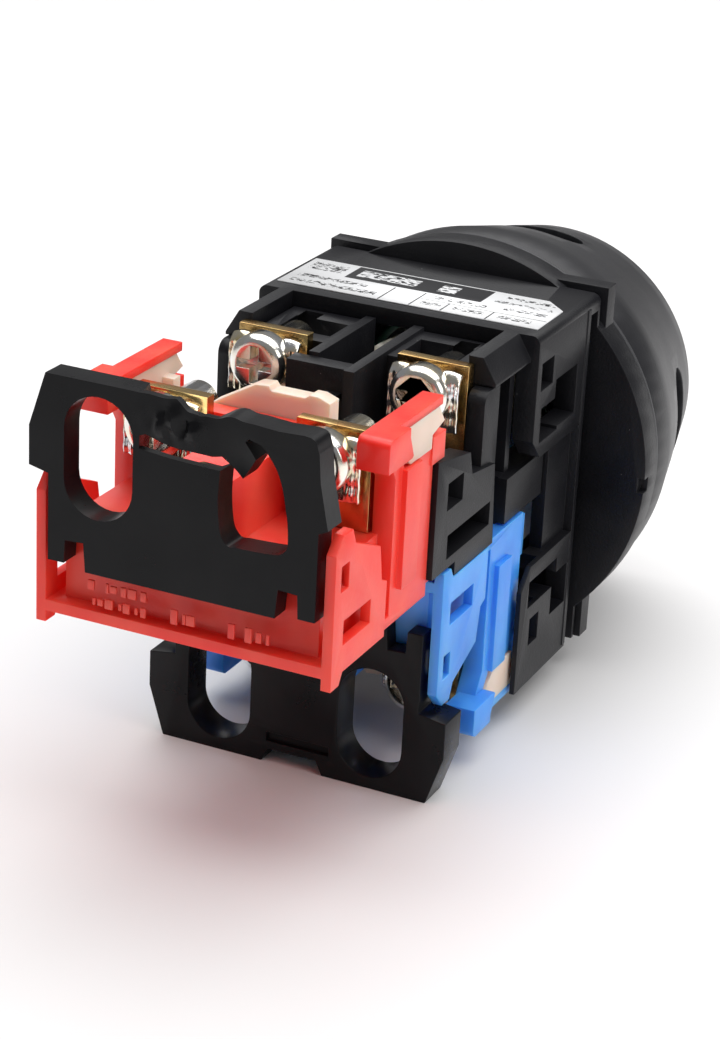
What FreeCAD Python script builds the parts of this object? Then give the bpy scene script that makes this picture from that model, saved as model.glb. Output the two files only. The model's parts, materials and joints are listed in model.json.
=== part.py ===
"""Illuminated push button operator for a 30.5 mm panel hole, with a lamp terminal block and two
stacked contact blocks (one normally open, one normally closed).

Millimetres, +Z up.  The origin is on the button's axis, in the plane of the panel's rear face.
The button faces -Y, the wiring terminals face +Y.  The normally open block hangs below the
joint plane Z = 0, the lamp terminal block and the normally closed block stand above it.
"""
import FreeCAD, Part
import os
from FreeCAD import Vector

os.makedirs("parts", exist_ok=True)

# ------------------------------------------------------------------ driving dimensions
# operator, all round features on the Y axis
flange_radius = 20.0
flange_depth = 3.25
plate_depth = 2.0
plate_margin = 0.4            # square plate stands this far proud of the body
sleeve_radius = 15.0          # M30 sleeve that passes through the panel
sleeve_length = 10.0
sleeve_wall = 2.2
gasket_depth = 0.7
gasket_inset = 0.7            # gasket edge lies inside the flange edge
washer_depth = 0.5
washer_inset = 0.3
thread_clearance = 0.1        # radial, guard ring and washers over the sleeve
turn_gap = 0.2                # guard ring to washer
guard_inset = 0.5             # guard base lies inside the flange edge
guard_lens_gap = 1.3          # radial, lens to guard rim
guard_length = 21.6
guard_skirt = 3.6
guard_shoulder = 1.2          # guard steps in this far past the sleeve's front end
guard_wall = 1.7
guard_window_length = 10.5
guard_window_width = 5.0
guard_window_setback = 5.6    # window edge to rim
guard_window_count = 4

# button
button_travel = 4.5
lens_sleeve_gap = 0.5         # radial, lens to sleeve bore
lens_depth = 12.0
lens_face_setback = 3.0       # lens face below the guard rim
lens_wall = 0.9
fit_clearance = 0.1
diffuser_wall = 0.8
spring_inset = 0.5            # spring lies inside the plunger's edge
spring_ledge = 0.3            # the plunger's ring is this much wider than the spring
plunger_depth = 6.0
leg_width = 6.0
leg_height = 2.1
foot_depth = 1.8
rod_width = 4.4
rod_height = 2.4
running_gap = 0.3             # pusher to slider, slider to slider
seal_depth = 0.6
spring_wire = 1.2

# body
body_width = 28.0
body_top = 17.4
body_bottom = 17.7
body_rear = 17.9
body_side_wall = 2.1
body_floor = 1.6
neck_depth = 2.25             # relieved band behind the flange
neck_inset = 1.5
corner_round = 0.8
rib_depth = 0.7
plate_front = 6.0
latch_low = 5.4               # latch plates start here, above and below the joint plane
latch_corner = 2.0
middle_wall_rear = 11.4
middle_wall_inset = 0.8
wing_rear = 25.9
wing_outline = [(10.5, 17.4), (11.9, 17.4), (13.2, 15.2), (13.2, 14.9), (10.7, 14.9)]
upper_windows = [(14.0, 16.9, 12.0, 14.6), (7.7, 13.1, 7.2, 12.0), (12.0, 16.4, 6.9, 10.2)]
lower_windows = [(13.0, 15.2, -13.7, -11.0), (6.2, 10.0, -12.5, -8.5), (9.0, 16.0, -9.6, -7.0)]
label_front = 8.0
label_rear = 16.2
label_half_width = 13.0
label_thickness = 0.12
label_corner = 2.1

# lamp terminal block
lamp_front = 18.2
lamp_tail = 3.0               # lamp block runs on past the second block's front
lamp_top = 12.0
lamp_deck = 8.8
lamp_strip_front = 1.0
lamp_side = 13.4
lamp_wall = 1.5
lamp_foot_height = 4.6
lamp_partition_half = 2.9
lamp_channel_half = 1.9
lamp_channel_floor = 11.0
lamp_partition_top = 16.4
lamp_partition_rear = 32.9    # the ridge on the right runs on past the bar
lamp_bar_front = 29.8
lamp_bar_rear = 31.6
lamp_bar_top = 16.0
lamp_bar_left = 4.2
lamp_terminal_front = 16.0
lamp_screw_spacing = 15.5
lamp_wall_half = 10.2
lamp_wall_top = 16.0
lamp_ledge_low = 13.6
lamp_recess_front = 19.2
lamp_recess_rear = 24.3
lamp_recess_inner = 10.0
lamp_pillar_top = 14.8
lamp_pillar_rear = 27.6
lamp_foot_rear = 20.5
lamp_panel_outline = [(31.1, 10.7), (30.4, 8.5), (25.3, 7.8), (24.6, 0.0)]
lamp_windows = [(32.3, 35.6, 6.8, 9.3), (25.8, 35.1, 2.2, 4.4)]
socket_radius = 5.6
socket_wall = 0.9
socket_front = -1.2
spring_seat_front = 5.0
spring_seat_depth = 1.2
bulb_radius = 4.2
bulb_length = 9.0
cap_radius = 4.6

# contact blocks, in a block's own frame: u across, v backwards, w away from the joint plane
block_pitch = 22.0
first_block_front = 13.0
base_thickness = 1.0
base_lap = 0.5                # a block's base runs on under the next block
base_half = 13.0
base_front_half = 11.6
base_step = 5.0
chamber_front = 3.2
chamber_rear = 21.0
chamber_wall = 1.2
chamber_top = 8.0
rear_wall_top = 7.0
post_front = 4.0
post_rear = 10.8
post_top = 13.5
post_half = 13.0
arm_front = 2.4
arm_rear = 15.0
arm_top = 17.8
arm_thickness = 0.8
arm_inner = 11.3
arm_outer = 14.2
arm_strip_outer = 13.2
arm_low = 15.0
wedge_rear = 11.0
horn_low = 12.0
skirt_outer = 13.5            # thin skirt of the body, outside the first block's arms
barrier_gap = 1.2             # barrier to terminal
barrier_rear = 20.4
barrier_top = 13.8
terminal_wall = 2.0
terminal_wall_top = 15.2
terminal_top = 16.8
inner_screw_gap = 0.25
inner_front = 6.2
inner_rear = 7.9
inner_low = 12.4
inner_crest = [(-4.4, 17.5), (-3.6, 17.5), (-3.2, 17.2), (-0.1, 17.2), (0.2, 17.6), (1.4, 17.5)]
inner_slope = 2.4             # the crest falls away over this height on one side
slider_half = 2.5
slider_low = 1.4
slider_high = 4.2
slider_length = 11.1
ear_front = 4.6
ear_depth = 1.2
slide_clearance = 0.3
bridge_half = 7.6
bridge_thickness = 0.8
bridge_rise = 0.3             # bridge stands this far above its slider
bridge_rest_gap = 0.2         # bridge to the chamber wall behind it
bridge_height = 1.7
closed_gap = 0.05             # closed contact, tab to bridge
open_gap = 0.1                # open contact, left over at full travel
nc_tab_front = 6.0
strip_half = 1.4
strip_plate = 0.8
flap_inner = 12.6
flap_outer = 13.5
flap_toe_front = 20.4
lug_outer = 12.6
spring_radius = 0.9
spring_u = 3.6

# terminal covers
cover_rear = 23.0
cover_thickness = 1.9
cover_rim_front = 19.5
upper_cover_half = 13.9
lower_cover_half = 14.7
cover_top = 20.9
cover_low = 4.5
cover_slot_width = 6.3
cover_slot_height = 10.5
cover_slot_centre = 14.5

# terminal screws and clamps
screw_spacing = 15.0
screw_height = 14.4
screw_head_radius = 2.7
screw_head_depth = 2.2
screw_shank_radius = 1.75
screw_shank_length = 6.6
screw_clearance = 0.1
terminal_half = 3.4
terminal_plate = 1.2
saddle_plate = 1.0
saddle_half = 3.3
saddle_low = 11.2
saddle_high = 16.6
clamp_gap = 0.2

# ------------------------------------------------------------------ derived places
half_width = body_width / 2
cavity_half = half_width - body_side_wall
sleeve_bore = sleeve_radius - sleeve_wall
lens_radius = sleeve_bore - lens_sleeve_gap
guard_base_radius = flange_radius - guard_inset
guard_rim_radius = lens_radius + guard_lens_gap + guard_wall
washer_rear = -gasket_depth
guard_rear = washer_rear - washer_depth - turn_gap
guard_front = guard_rear - guard_length
lens_front = guard_front + lens_face_setback
lens_rear = lens_front + lens_depth
plunger_rear = lens_rear + plunger_depth
plunger_radius = lens_radius - 2 * fit_clearance
spring_outer = min(cavity_half - slide_clearance, plunger_radius - spring_inset)
foot_rear = first_block_front + chamber_front - button_travel - slide_clearance
socket_rear = foot_rear - foot_depth - slide_clearance
second_block_front = first_block_front + block_pitch
base_length = block_pitch + base_lap
lamp_rear = second_block_front + lamp_tail
terminal_wall_rear = (chamber_front + chamber_wall + bridge_rest_gap + bridge_thickness + button_travel
                      + open_gap)
terminal_wall_front = terminal_wall_rear - terminal_wall
slider_front = chamber_front + slide_clearance
screw_u = screw_spacing / 2
lamp_screw_u = lamp_screw_spacing / 2
barrier_half = screw_u - terminal_half - barrier_gap
inner_half = screw_u - screw_shank_radius - inner_screw_gap
screw_v = terminal_wall_rear + terminal_plate + clamp_gap + saddle_plate + clamp_gap
EPS = 0.5                     # cutters run past the face that they open


# ------------------------------------------------------------------ helpers
def box(x0, x1, y0, y1, z0, z1):
    """Box between two corners."""
    return Part.makeBox(x1 - x0, y1 - y0, z1 - z0, Vector(x0, y0, z0))


def centred(half, y0, y1, z0, z1):
    """Box that is symmetric across the middle plane X = 0."""
    return box(-half, half, y0, y1, z0, z1)


def rod(radius, y0, y1, x=0.0, z=0.0):
    """Round bar along Y."""
    return Part.makeCylinder(radius, y1 - y0, Vector(x, y0, z), Vector(0, 1, 0))


def tube(outer, inner, y0, y1, x=0.0, z=0.0):
    """Round tube along Y."""
    return rod(outer, y0, y1, x, z).cut(rod(inner, y0 - EPS, y1 + EPS, x, z))


def cone(radius0, radius1, y0, y1):
    """Truncated cone along Y."""
    return Part.makeCone(radius0, radius1, y1 - y0, Vector(0, y0, 0), Vector(0, 1, 0))


def side_prism(points, x0, x1):
    """Outline of (y, z) points, extruded across X."""
    wire = Part.makePolygon([Vector(x0, y, z) for y, z in points + points[:1]])
    return Part.Face(wire).extrude(Vector(x1 - x0, 0, 0))


def end_prism(points, y0, y1):
    """Outline of (x, z) points, extruded along Y."""
    wire = Part.makePolygon([Vector(x, y0, z) for x, z in points + points[:1]])
    return Part.Face(wire).extrude(Vector(0, y1 - y0, 0))


def mirrored(shape):
    """Copy on the other side of the middle plane."""
    return shape.mirror(Vector(0, 0, 0), Vector(1, 0, 0))


def both(shape):
    """Shape with its mirror image."""
    return shape.fuse(mirrored(shape))


def flipped(shape):
    """Copy turned half a turn about the Y axis."""
    copy = shape.copy()
    copy.rotate(Vector(0, 0, 0), Vector(0, 1, 0), 180)
    return copy


def joined(shapes):
    """One solid from pieces that meet."""
    return shapes[0].multiFuse(shapes[1:]).removeSplitter()


def slot(width, height, x, z, y0, y1):
    """Upright slot with round ends."""
    r = width / 2
    straight = height / 2 - r
    middle = box(x - r, x + r, y0, y1, z - straight, z + straight)
    return joined([middle, rod(r, y0, y1, x, z - straight), rod(r, y0, y1, x, z + straight)])


def edges_along(shape, axis, test):
    """Straight edges parallel to an axis whose centre passes a test."""
    found = []
    for edge in shape.Edges:
        if len(edge.Vertexes) == 2:
            run = edge.Vertexes[1].Point - edge.Vertexes[0].Point
            across = run - axis * run.dot(axis)
            if across.Length < 1e-6 and test(edge.CenterOfMass):
                found.append(edge)
    return found


def save(name, shape):
    """Write one sub-part."""
    solids = shape.Solids
    assert solids and all(s.isValid() for s in solids), name
    out = solids[0] if len(solids) == 1 else Part.makeCompound(solids)
    out.exportStep("parts/" + name + ".step")
    print(name, len(solids), round(out.Volume, 1))


# ------------------------------------------------------------------ operator
def latch_cuts():
    """Windows and rounded corners of the latch plates, one side."""
    inner, outer = cavity_half - EPS, half_width + EPS
    cuts = [box(inner, outer, *window) for window in upper_windows + lower_windows]
    for sign in (1, -1):
        corner = [(body_rear - latch_corner, sign * latch_low), (body_rear + EPS, sign * latch_low),
                  (body_rear + EPS, sign * (latch_low + latch_corner + EPS))]
        cuts.append(side_prism(corner, inner, outer))
    return cuts


def base_housing():
    """Flange, threaded sleeve and square body of the operator, one moulding."""
    plate_half = half_width + plate_margin
    plate_top = body_top + plate_margin
    plate_low = -body_bottom - plate_margin / 2
    plate = centred(plate_half, 0, plate_depth, plate_low, plate_top)
    disc = rod(flange_radius, 0, flange_depth)
    body = centred(half_width, flange_depth - EPS, body_rear, -body_bottom, body_top)
    corner = edges_along(body, Vector(0, 1, 0), lambda c: c.z > 0)
    body = body.makeFillet(corner_round, corner)
    sleeve = rod(sleeve_radius, -sleeve_length, EPS)
    rib = both(box(half_width - EPS, half_width + 0.1, plate_front - rib_depth, plate_front,
                   -body_bottom + 0.4, body_top - corner_round))
    wing = end_prism(wing_outline, body_rear - EPS, wing_rear)
    shape = joined([plate, disc, body, sleeve, rib, wing, mirrored(wing)])
    cuts = [rod(sleeve_bore, -sleeve_length - EPS, flange_depth + EPS),
            centred(cavity_half, flange_depth, body_rear + EPS,
                    -body_bottom + body_floor, body_top - body_floor),
            centred(skirt_outer, first_block_front + slide_clearance, body_rear + EPS,
                    -body_bottom - EPS, -latch_low)]
    neck_rear = flange_depth + neck_depth - rib_depth / 2
    side_cuts = [box(half_width - neck_inset, half_width + EPS, flange_depth, neck_rear,
                     -body_bottom - EPS, body_top - neck_inset),
                 box(cavity_half - EPS, half_width + EPS, middle_wall_rear,
                     body_rear + EPS, -latch_low, latch_low),
                 box(half_width - middle_wall_inset, half_width + EPS, plate_front, middle_wall_rear,
                     -latch_low, latch_low)]
    side_cuts += latch_cuts()
    for cut in side_cuts:
        cuts += [cut, mirrored(cut)]
    notch = box(-flange_radius - EPS, -flange_radius + 0.7, flange_depth - 1.0, flange_depth + EPS,
                -1.2, 0.2)
    return shape.cut(Part.makeCompound(cuts + [notch])).removeSplitter()


def rating_label():
    """Thin printed plate on the top face, one corner cut."""
    x = label_half_width
    outline = [(x, label_front), (-x + label_corner, label_front), (-x, label_front + label_corner),
               (-x, label_rear), (x, label_rear)]
    wire = Part.makePolygon([Vector(a, b, body_top) for a, b in outline + outline[:1]])
    return Part.Face(wire).extrude(Vector(0, 0, label_thickness))


def panel_gasket():
    """Rubber ring that seals on the panel."""
    return tube(flange_radius - gasket_inset, sleeve_radius + thread_clearance, -gasket_depth, 0)


def thrust_washer():
    """Thin washer under the guard ring."""
    return tube(flange_radius - washer_inset, sleeve_radius + thread_clearance,
                washer_rear - washer_depth, washer_rear)


def guard_ring():
    """Full guard that screws on the sleeve, with four round-ended windows."""
    skirt_front = guard_rear - guard_skirt
    shell = joined([rod(guard_base_radius, skirt_front, guard_rear),
                    cone(guard_rim_radius, guard_base_radius, guard_front, skirt_front)])
    shoulder = -sleeve_length - guard_shoulder
    shell = shell.cut(rod(sleeve_radius + thread_clearance, shoulder, guard_rear + EPS))
    shell = shell.cut(rod(guard_rim_radius - guard_wall, guard_front - EPS, shoulder + EPS))
    middle = guard_front + guard_window_setback + guard_window_width / 2
    window = slot(guard_window_width, guard_window_length, 0, 0, 0, guard_base_radius + EPS)
    window.rotate(Vector(0, 0, 0), Vector(0, 1, 0), 90)
    window.rotate(Vector(0, 0, 0), Vector(1, 0, 0), 90)
    window.translate(Vector(0, middle, 0))
    cuts = []
    for index in range(guard_window_count):
        copy = window.copy()
        copy.rotate(Vector(0, 0, 0), Vector(0, 1, 0), index * 360.0 / guard_window_count)
        cuts.append(copy)
    return shell.cut(Part.makeCompound(cuts)).removeSplitter()


def button_seal():
    """Soft lip ring on the sleeve's front face."""
    return tube(sleeve_radius - fit_clearance, lens_radius + slide_clearance,
                -sleeve_length - seal_depth, -sleeve_length)


def lens_cap():
    """Domed translucent cap, open at the rear."""
    cap = rod(lens_radius, lens_front, lens_rear)
    face = [e for e in cap.Edges if abs(e.CenterOfMass.y - lens_front) < 1e-3 and e.Length > lens_radius]
    cap = cap.makeFillet(lens_wall, face)
    return cap.cut(rod(lens_radius - lens_wall, lens_front + lens_wall, lens_rear + EPS))


def diffuser():
    """White cup that spreads the lamp's light inside the cap."""
    radius = lens_radius - lens_wall - fit_clearance
    front = lens_front + lens_wall + fit_clearance
    cup = rod(radius, front, lens_rear)
    return cup.cut(rod(radius - diffuser_wall, front + diffuser_wall, lens_rear + EPS))


def plunger():
    """Ring that carries the cap, with one leg, a foot and a rod to the first contact block."""
    ring = tube(plunger_radius, spring_outer - spring_wire - spring_ledge, lens_rear, plunger_rear)
    leg_low = -plunger_radius
    leg_high = leg_low + leg_height
    rod_low = -slider_high + fit_clearance
    rod_rear = first_block_front + slider_front - running_gap
    leg = centred(leg_width / 2, lens_rear + EPS, foot_rear, leg_low, leg_high)
    foot = centred(leg_width / 2, foot_rear - foot_depth, foot_rear, leg_low, rod_low + rod_height)
    push = centred(rod_width / 2, foot_rear - foot_depth, rod_rear, rod_low, rod_low + rod_height)
    return joined([ring, leg, foot, push])


def button_spring():
    """Return spring of the button, as its outer envelope."""
    spring = tube(spring_outer, spring_outer - spring_wire, plunger_rear, spring_seat_front)
    return spring.cut(centred(leg_width / 2 + slide_clearance, plunger_rear - EPS,
                              spring_seat_front + EPS, -lens_radius, -plunger_radius + 2 * leg_height))


# ------------------------------------------------------------------ lamp
def lamp_socket():
    """Bayonet socket with the spring seat round it."""
    shape = joined([tube(socket_radius, socket_radius - socket_wall, socket_front, socket_rear),
                    rod(socket_radius, socket_rear - socket_wall, socket_rear),
                    tube(cavity_half - fit_clearance, socket_radius - socket_wall,
                         spring_seat_front, spring_seat_front + spring_seat_depth)])
    clear = centred(leg_width / 2 + slide_clearance, spring_seat_front - EPS,
                    spring_seat_front + spring_seat_depth + EPS,
                    -flange_radius, -plunger_radius + leg_height + slide_clearance)
    return shape.cut(clear)


def lamp_cap():
    """Metal cap of the bayonet lamp, with its two pins and centre contact."""
    rear = socket_rear - socket_wall - 2.4
    cap = rod(cap_radius, socket_front - 1.5, rear)
    reach = socket_radius - socket_wall
    pins = both(Part.makeCylinder(0.4, reach - cap_radius + 0.2, Vector(cap_radius - 0.2, rear - 4.0, 0),
                                  Vector(1, 0, 0)))
    return joined([cap, pins, rod(1.4, rear, rear + 0.8)])


def lamp_bulb():
    """Rounded envelope of the lamp."""
    rear = socket_front - 1.5
    straight = bulb_length - bulb_radius
    dome = Part.makeSphere(bulb_radius, Vector(0, rear - straight, 0))
    return joined([rod(bulb_radius, rear - straight, rear), dome])


def lamp_contact_spring():
    """Small conical spring behind the lamp's centre contact, as its envelope."""
    rear = socket_rear - socket_wall
    return tube(2.2, 1.5, rear - 1.6, rear)


def lamp_block():
    """Moulded terminal block of the lamp, with two bays and a centre partition."""
    bay_rear = lamp_terminal_front + terminal_wall_rear
    bay_front = lamp_terminal_front + terminal_wall_front
    low = lamp_deck - EPS
    core = centred(lamp_side - lamp_wall, lamp_front, lamp_rear, 0, lamp_deck)
    panel = side_prism([(lamp_rear, 0), (lamp_rear, lamp_top)] + lamp_panel_outline,
                       lamp_side - lamp_wall - EPS, lamp_side)
    post = box(lamp_recess_inner, lamp_side - lamp_wall, lamp_front, lamp_recess_front, low,
               lamp_pillar_top)
    pillar = box(lamp_recess_inner, lamp_side - 0.4, lamp_recess_rear, bay_rear - 0.1,
                 lamp_deck - lamp_wall, lamp_pillar_top)
    cheek = box(lamp_screw_u + terminal_half + clamp_gap, lamp_side - 0.4, lamp_recess_rear,
                lamp_pillar_rear, lamp_deck - lamp_wall, lamp_pillar_top)
    cheek = cheek.makeFillet(1.2, edges_along(cheek, Vector(1, 0, 0),
                                              lambda c: c.y > lamp_pillar_rear - 0.1 and c.z > lamp_deck))
    wall = centred(lamp_wall_half, bay_front - 1.4, bay_rear, low, lamp_wall_top)
    ledge = centred(lamp_wall_half, lamp_front, bay_front, lamp_ledge_low, lamp_wall_top)
    partition = centred(lamp_partition_half, lamp_front, lamp_bar_front, low, lamp_partition_top)
    ridge = box(-lamp_partition_half, -lamp_channel_half, lamp_bar_front - EPS, lamp_partition_rear,
                low, lamp_partition_top)
    bar = box(-lamp_channel_half - 0.1, lamp_bar_left, lamp_bar_front, lamp_bar_rear, low, lamp_bar_top)
    sill = box(-1.2, 0.2, lamp_bar_rear - EPS, lamp_bar_rear + 0.8, 13.2, 13.8)
    stem = centred(4.0, socket_rear, lamp_front + EPS, 0.2, lamp_foot_height)
    hook = both(box(lamp_side - 2 * lamp_wall - EPS, lamp_side - 0.6, middle_wall_rear + slide_clearance,
                    lamp_foot_rear, 0.2, lamp_foot_height - 0.1))
    shape = joined([core, panel, mirrored(panel), wall, ledge, partition, ridge, bar, sill, stem, hook]
                   + [both(s) for s in (post, pillar, cheek)])
    inside = lamp_side - 2 * lamp_wall
    cuts = [centred(inside, lamp_front + lamp_wall, lamp_rear - lamp_wall, -EPS, lamp_deck - lamp_wall),
            centred(lamp_channel_half, lamp_front - EPS, lamp_bar_front, lamp_channel_floor,
                    lamp_partition_top + EPS),
            centred(lamp_side + EPS, first_block_front + flap_toe_front - slide_clearance,
                    lamp_rear + EPS, -EPS, base_thickness + 0.3)]
    outer = lamp_side + EPS
    lug_room = box(base_front_half - 1.0, lug_outer + fit_clearance,
                   second_block_front + 1.8 - slide_clearance, lamp_rear + EPS, 0, 4.8 + slide_clearance)
    recess = box(inside - EPS, outer, lamp_recess_front, lamp_recess_rear, lamp_foot_height,
                 lamp_pillar_top - lamp_wall)
    toe = box(inside - EPS, outer, lamp_foot_rear, lamp_recess_rear, -EPS, lamp_foot_height + EPS)
    windows = [box(inside - EPS, outer, *window) for window in lamp_windows]
    notch = box(lamp_partition_half + 0.7, lamp_wall_half - 1.4, lamp_front + 2.2, bay_front + 0.2,
                lamp_ledge_low + 0.8, lamp_wall_top + EPS)
    shank = rod(screw_shank_radius + screw_clearance, lamp_front + EPS, bay_rear + EPS,
                lamp_screw_u, screw_height)
    strip = box(lamp_screw_u - strip_half - fit_clearance, lamp_screw_u + strip_half + fit_clearance,
                lamp_terminal_front + lamp_strip_front - EPS, bay_rear + EPS,
                lamp_deck, lamp_deck + strip_plate + fit_clearance)
    for cut in windows + [lug_room, recess, toe, notch, shank, strip]:
        cuts += [cut, mirrored(cut)]
    return shape.cut(Part.makeCompound(cuts)).removeSplitter()


# ------------------------------------------------------------------ terminals, in a block's frame
def terminal_strip(centre, strip_front, strip_low, tab_low):
    """Terminal plate with a tapped hole, its strip forwards and the tab that carries the contact."""
    face = box(centre - terminal_half, centre + terminal_half, terminal_wall_rear,
               terminal_wall_rear + terminal_plate, strip_low, terminal_top)
    strip = box(centre - strip_half, centre + strip_half, strip_front,
                terminal_wall_rear + terminal_plate, strip_low, strip_low + strip_plate)
    tab = box(centre - strip_half, centre + strip_half, strip_front, strip_front + strip_plate,
              tab_low, strip_low + strip_plate)
    hole = rod(screw_shank_radius + screw_clearance, terminal_wall_rear - EPS,
               terminal_wall_rear + terminal_plate + EPS, centre, screw_height)
    return joined([face, strip, tab]).cut(hole)


def terminal_saddle(centre):
    """Pressed clamp plate with turned-down ends."""
    front = terminal_wall_rear + terminal_plate + clamp_gap
    plate = box(centre - saddle_half, centre + saddle_half, front, front + saddle_plate,
                saddle_low, saddle_high)
    crown = box(centre - saddle_half, centre + saddle_half, front + saddle_plate - 0.1,
                front + saddle_plate + 0.9, saddle_high - 0.9, saddle_high)
    lip = box(centre - saddle_half, centre + saddle_half, front + saddle_plate - 0.1,
              front + saddle_plate + 0.9, saddle_low, saddle_low + 0.9)
    head_room = rod(screw_head_radius + screw_clearance, front + saddle_plate,
                    front + saddle_plate + 2.0, centre, screw_height)
    hole = rod(screw_shank_radius + screw_clearance, front - EPS, front + saddle_plate + EPS,
               centre, screw_height)
    return joined([plate, crown, lip]).cut(Part.makeCompound([head_room, hole]))


def terminal_screw(centre):
    """Pan head screw with a cross recess."""
    head = rod(screw_head_radius, screw_v, screw_v + screw_head_depth, centre, screw_height)
    top = [e for e in head.Edges
           if abs(e.CenterOfMass.y - screw_v - screw_head_depth) < 1e-3 and e.Length > screw_head_radius]
    head = head.makeFillet(screw_head_depth * 0.4, top)
    shank = rod(screw_shank_radius, screw_v - screw_shank_length, screw_v + 0.1, centre, screw_height)
    rear = screw_v + screw_head_depth
    arm = 1.7
    blade = 0.4
    cross = box(centre - arm, centre + arm, rear - 1.2, rear + EPS,
                screw_height - blade, screw_height + blade)
    other = box(centre - blade, centre + blade, rear - 1.2, rear + EPS,
                screw_height - arm, screw_height + arm)
    return joined([head, shank]).cut(Part.makeCompound([cross, other]))


# ------------------------------------------------------------------ contact blocks, in their frame
def flap_outline():
    """Side flap of a contact block as (v, w) points."""
    rear = base_length
    return [(rear, -1.0), (rear, 10.6), (21.2, 12.0), (19.6, 12.0), (19.0, 10.6), (14.2, 8.6),
            (13.6, 5.4), (12.6, 5.0), (12.6, 0.0), (flap_toe_front, 0.0), (flap_toe_front + 0.6, -1.0)]


def block_housing(knock_out):
    """Coloured moulding of a contact block; the knock-out lets the next block's nose in."""
    wide_base = centred(base_half, base_step, base_length, 0, base_thickness)
    narrow_base = centred(base_front_half, 0, base_step + EPS, 0, base_thickness)
    chamber = centred(base_front_half, chamber_front, chamber_rear, 0, chamber_top)
    post = box(base_front_half - EPS, post_half, post_front, post_rear, 0, post_top)
    strip = box(post_half - EPS, post_half + 0.5, post_front + 2.6, post_rear - 1.2, 3.0, post_top)
    arm = side_prism([(wedge_rear, arm_top), (wedge_rear, arm_top - arm_thickness), (10.2, 15.2),
                      (10.4, arm_low), (arm_rear, arm_low), (arm_rear, arm_top)], arm_inner, arm_outer)
    arm_nose = edges_along(arm, Vector(1, 0, 0), lambda c: c.y > arm_rear - 1 and c.z > arm_top - 1)
    arm = arm.makeFillet(0.7, arm_nose)
    neck = side_prism([(post_rear - 2.0, post_top - EPS), (post_rear, post_top - EPS),
                       (post_rear + 1.6, arm_low + EPS), (post_rear - 0.2, arm_low + EPS)],
                      base_front_half - EPS, post_half)
    bridge = box(arm_inner, arm_strip_outer, arm_front, wedge_rear + EPS, arm_top - arm_thickness, arm_top)
    horn = box(base_front_half, arm_strip_outer, arm_front - 1.0, post_front, horn_low, 14.5)
    horn_web = box(base_front_half - EPS, arm_strip_outer - 0.2, chamber_front + 0.1, post_front + EPS,
                   0, horn_low + EPS)
    flap = side_prism(flap_outline(), flap_inner, flap_outer)
    lug = box(base_front_half - EPS, lug_outer, 1.8, 6.0, 0.7, 4.8)
    barrier = centred(barrier_half, terminal_wall_front, barrier_rear, chamber_top - EPS, barrier_top)
    wall = centred(11.2, terminal_wall_front, terminal_wall_rear, chamber_top - EPS, terminal_wall_top)
    shape = joined([wide_base, narrow_base, chamber, barrier, wall]
                   + [both(s) for s in (post, strip, arm, neck, bridge, horn, horn_web, flap, lug)])
    inside = base_front_half - chamber_wall
    passage = slider_half + slide_clearance
    cuts = [centred(inside, chamber_front + chamber_wall, chamber_rear - chamber_wall,
                    base_thickness, chamber_top - chamber_wall),
            centred(base_half, chamber_rear - chamber_wall - EPS, chamber_rear + EPS,
                    rear_wall_top, chamber_top + EPS),
            centred(passage, chamber_front - EPS, chamber_front + chamber_wall + EPS,
                    base_thickness + 0.1, slider_high + slide_clearance),
            centred(passage, chamber_front - slide_clearance, chamber_front + 2.5 + button_travel,
                    -EPS, base_thickness + EPS),
            box(flap_inner - EPS, flap_outer + EPS, 20.0, 21.4, 7.2, 9.4),
            box(flap_inner - EPS, flap_outer + EPS, 15.6, 20.6, 2.4, 4.5)]
    cuts = cuts[:4] + [both(c) for c in cuts[4:]]
    for side in (-1, 1):
        centre = side * screw_u
        cuts.append(rod(screw_shank_radius + screw_clearance, terminal_wall_front - EPS,
                        terminal_wall_rear + EPS, centre, screw_height))
        cuts.append(box(centre - strip_half - fit_clearance, centre + strip_half + fit_clearance,
                        nc_tab_front - EPS, terminal_wall_rear + terminal_plate,
                        chamber_top - chamber_wall - EPS, chamber_top + strip_plate + fit_clearance))
    if knock_out:
        cuts.append(centred(passage, chamber_rear - chamber_wall - EPS, chamber_rear + EPS,
                            base_thickness + 0.1, slider_high + slide_clearance))
    return shape.cut(Part.makeCompound(cuts)).removeSplitter()


def block_inner():
    """Cream moulding that closes the contact chamber and snaps under both side arms."""
    shoulder = inner_crest[-1][1] - inner_slope
    outline = ([(-inner_half, inner_low), (-inner_half, shoulder + 2)] + inner_crest
               + [(inner_half, shoulder), (inner_half, inner_low)])
    plate = end_prism(outline, inner_front, inner_rear)
    stalk = centred(inner_half, chamber_front + 0.4, inner_rear, chamber_top + 0.1, inner_low + EPS)
    cross = centred(base_front_half - EPS - 0.1, chamber_front + 0.6, post_front + 1.5, chamber_top + 0.1,
                    post_top - 0.3)
    side = [(wedge_rear - 0.1, arm_top - arm_thickness), (3.1, arm_top - arm_thickness), (1.8, 15.4),
               (4.2, 14.8), (4.2, post_top + 0.1), (8.4, post_top + 0.1), (10.1, 15.2)]
    wedge = side_prism(side, arm_inner + 0.2, arm_strip_outer)
    link = box(base_front_half - 1.2, arm_inner + 0.6, post_front + 0.3, post_front + 1.5,
               post_top - 1.0, post_top + 2.0)
    link = link.cut(box(base_front_half - EPS - 0.1, 20, post_front - EPS, post_rear, 0, post_top + 0.1))
    return joined([plate, stalk, cross, wedge, mirrored(wedge), link, mirrored(link)])


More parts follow.
